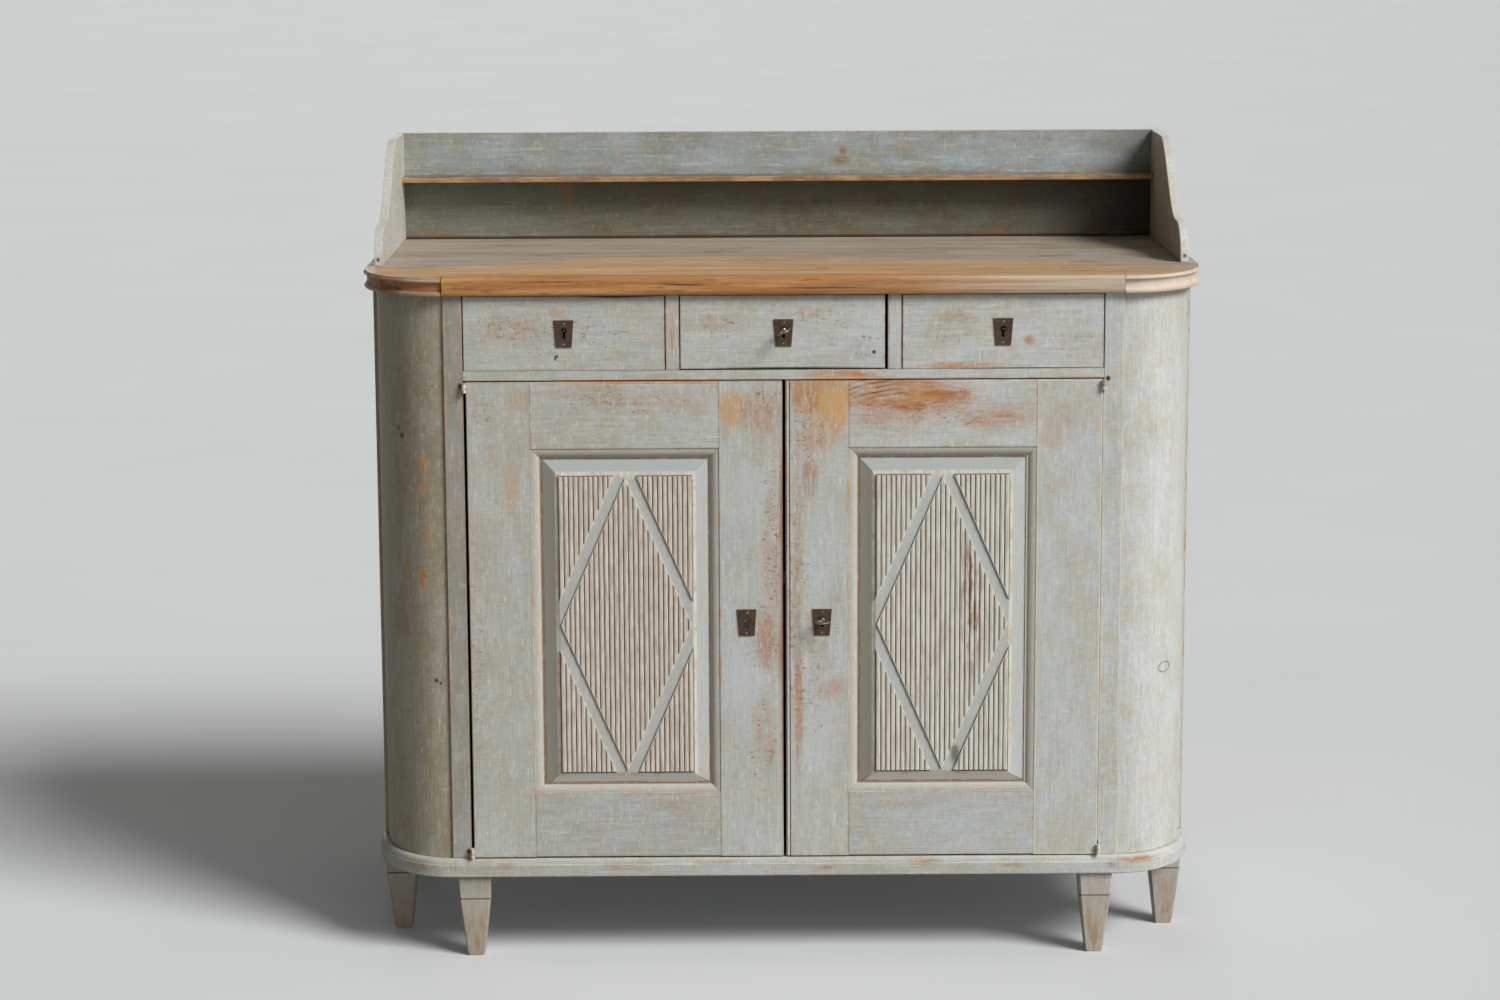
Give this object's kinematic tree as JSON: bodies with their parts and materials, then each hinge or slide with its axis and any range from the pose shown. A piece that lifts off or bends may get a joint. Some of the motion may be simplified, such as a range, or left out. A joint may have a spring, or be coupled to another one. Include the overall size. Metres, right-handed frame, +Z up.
{
  "type": "buffet cabinet",
  "caption": "Painted pine buffet cabinet with a gallery, a row of lockable drawers, framed doors with reeded lozenge panels, curved corner panels and square tapered legs.",
  "frame": {"origin": "on the floor under the middle of the bounding box", "axes": "+Z up, +X to the right as seen from the front, the front faces -Y"},
  "size_m": [1.2, 0.573, 1.152],
  "materials": {
    "paint": "worn matt grey-green paint on pine",
    "pine": "bare aged pine",
    "iron": "rusty wrought iron",
    "steel": "worn dull steel"
  },
  "bodies": {
    "case": {"top_board": "paint", "bottom_board": "paint", "gallery_back": "paint", "gallery_shelf": "paint", "front_stile_left": "paint", "front_stile_right": "paint", "corner_panel_left": "paint", "corner_panel_right": "paint", "side_board_left": "paint", "side_board_right": "paint", "drawer_divider_left": "paint", "drawer_divider_right": "paint", "gallery_side_left": "paint", "gallery_side_right": "paint", "leg_front_left": "paint", "leg_front_right": "paint", "leg_side_left": "paint", "leg_side_right": "paint", "leg_back_left": "paint", "leg_back_right": "paint", "back_panel": "pine", "drawer_deck": "pine", "cupboard_shelf": "pine", "hinge_frame_top_left": "iron", "hinge_frame_top_right": "iron", "hinge_frame_bottom_left": "iron", "hinge_frame_bottom_right": "iron"},
    "door_left": {"door_hinge_stile_left": "paint", "door_lock_stile_left": "paint", "door_top_rail_left": "paint", "door_bottom_rail_left": "paint", "door_panel_left": "paint", "key_plate_door_left": "iron", "hinge_door_top_left": "iron", "hinge_door_bottom_left": "iron"},
    "door_right": {"door_hinge_stile_right": "paint", "door_lock_stile_right": "paint", "door_top_rail_right": "paint", "door_bottom_rail_right": "paint", "door_panel_right": "paint", "key_plate_door_right": "iron", "hinge_door_top_right": "iron", "hinge_door_bottom_right": "iron", "lock_door": "iron"},
    "door_key": {"key_door": "steel"},
    "door_bolt": {"bolt_door": "steel"},
    "drawer_left": {"drawer_front_left": "paint", "drawer_box_left": "pine", "key_plate_drawer_left": "iron", "lock_drawer_left": "iron"},
    "drawer_centre": {"drawer_front_centre": "paint", "drawer_box_centre": "pine", "key_plate_drawer_centre": "iron", "lock_drawer_centre": "iron"},
    "drawer_right": {"drawer_front_right": "paint", "drawer_box_right": "pine", "key_plate_drawer_right": "iron", "lock_drawer_right": "iron"},
    "drawer_key": {"key_drawer": "steel"},
    "drawer_bolt": {"bolt_drawer": "steel"}
  },
  "joints": [
    {"name": "door_left_swing", "type": "hinge", "parent": "case", "child": "door_left", "pos_m": [-0.4492, -0.259, 0.5], "axis": [0, 0, -1], "range_deg": [0, 170]},
    {"name": "door_right_swing", "type": "hinge", "parent": "case", "child": "door_right", "pos_m": [0.4501, -0.259, 0.5], "axis": [0, 0, 1], "range_deg": [0, 170]},
    {"name": "drawer_left_slide", "type": "slide", "parent": "case", "child": "drawer_left", "axis": [0, -1, 0], "range_m": [0, 0.33]},
    {"name": "drawer_centre_slide", "type": "slide", "parent": "case", "child": "drawer_centre", "axis": [0, -1, 0], "range_m": [0, 0.33]},
    {"name": "drawer_right_slide", "type": "slide", "parent": "case", "child": "drawer_right", "axis": [0, -1, 0], "range_m": [0, 0.33]},
    {"name": "door_key_turn", "type": "hinge", "parent": "door_right", "child": "door_key", "pos_m": [0.0535, -0.2525, 0.499], "axis": [0, 1, 0], "range_deg": [0, 90]},
    {"name": "door_bolt_slide", "type": "slide", "parent": "door_right", "child": "door_bolt", "axis": [-1, 0, 0], "range_m": [0, 0.0081]},
    {"name": "drawer_key_turn", "type": "hinge", "parent": "drawer_centre", "child": "drawer_key", "pos_m": [0, -0.2525, 0.9135], "axis": [0, 1, 0], "range_deg": [0, 90]},
    {"name": "drawer_bolt_slide", "type": "slide", "parent": "drawer_centre", "child": "drawer_bolt", "axis": [0, 0, 1], "range_m": [0, 0.0081]}
  ],
  "couplings": [
    {"joint": "door_bolt_slide", "follows": "door_key_turn", "m_per_rad": 0.005093},
    {"joint": "drawer_bolt_slide", "follows": "drawer_key_turn", "m_per_rad": 0.005093}
  ]
}
